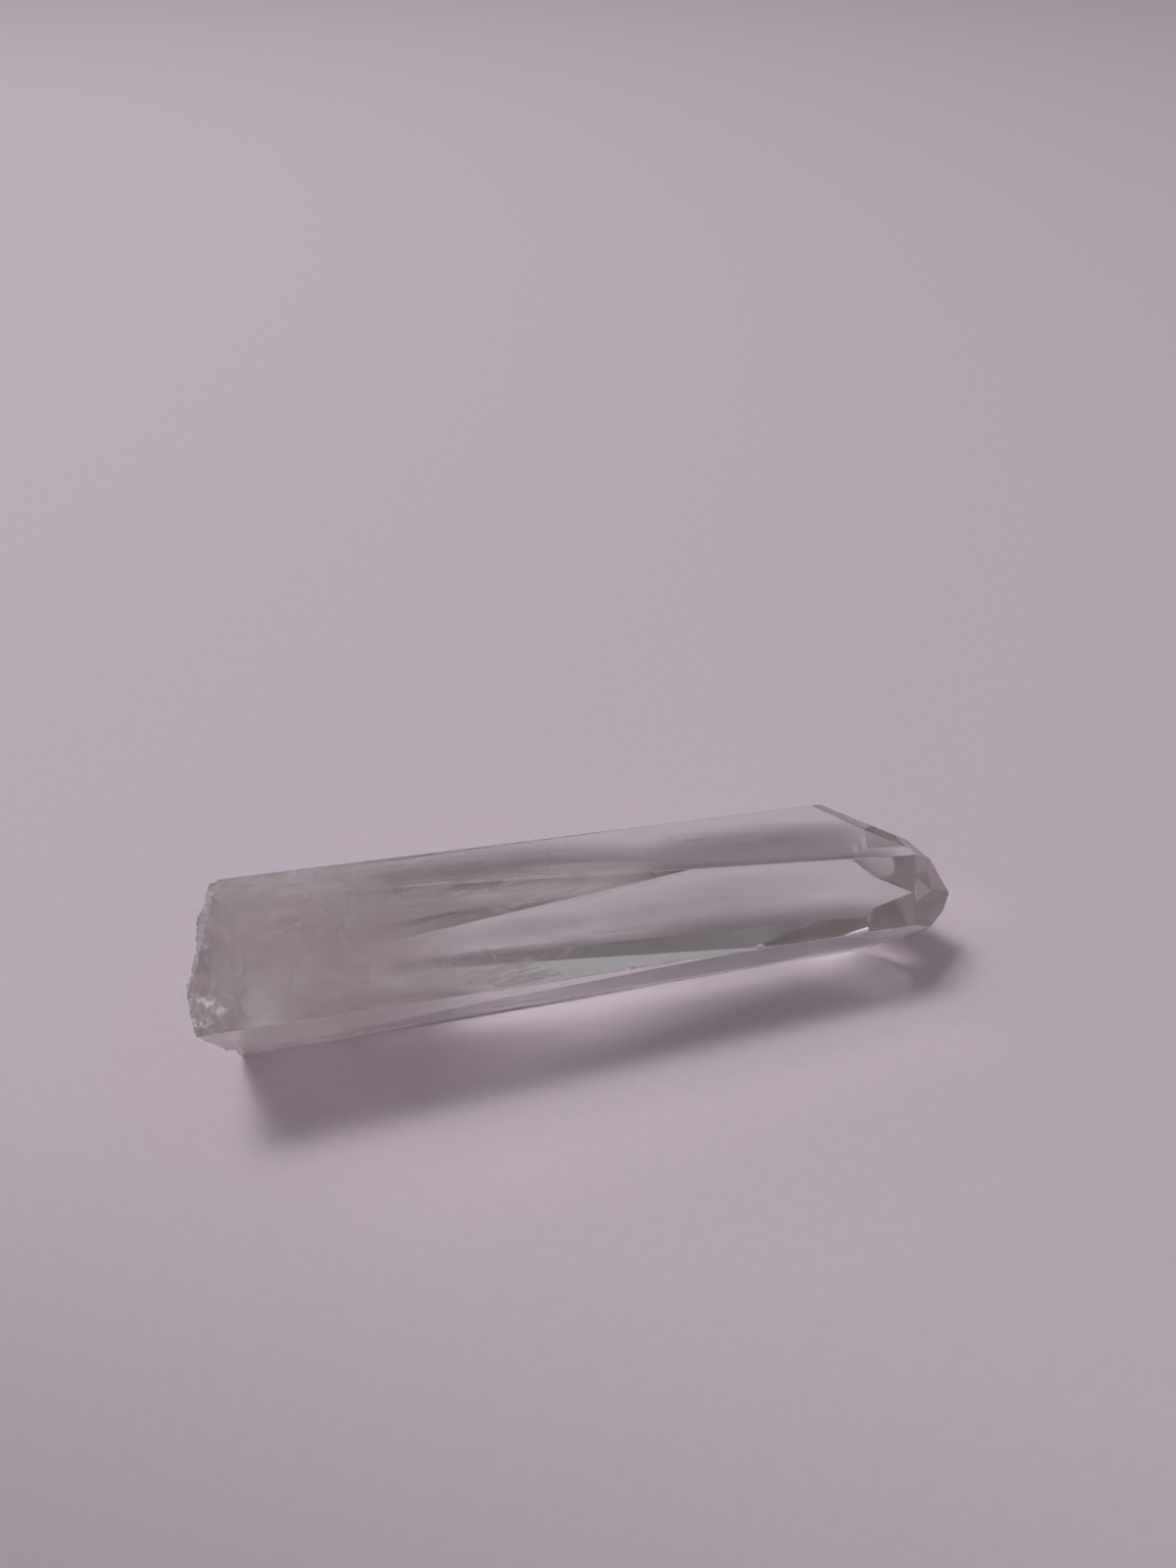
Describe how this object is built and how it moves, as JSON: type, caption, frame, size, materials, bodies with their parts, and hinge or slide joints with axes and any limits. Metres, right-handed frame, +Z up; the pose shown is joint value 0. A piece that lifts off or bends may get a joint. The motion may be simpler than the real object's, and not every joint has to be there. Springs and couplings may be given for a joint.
{
  "type": "quartz crystal point",
  "caption": "Clear natural quartz crystal lying on a long prism face, with a faceted tip and a milky, rough broken root end; a loose mineral specimen for display.",
  "frame": {"origin": "on the surface the crystal lies on, under the middle of its bounding box", "axes": "+X from the broken root to the tip, +Y to the back, +Z up"},
  "size_m": [0.0968, 0.0252, 0.0279],
  "materials": {
    "quartz": "natural crystal faces, clear at the tip and milky at the broken root"
  },
  "bodies": {
    "root": {"quartz_point": "quartz"}
  },
  "joints": []
}
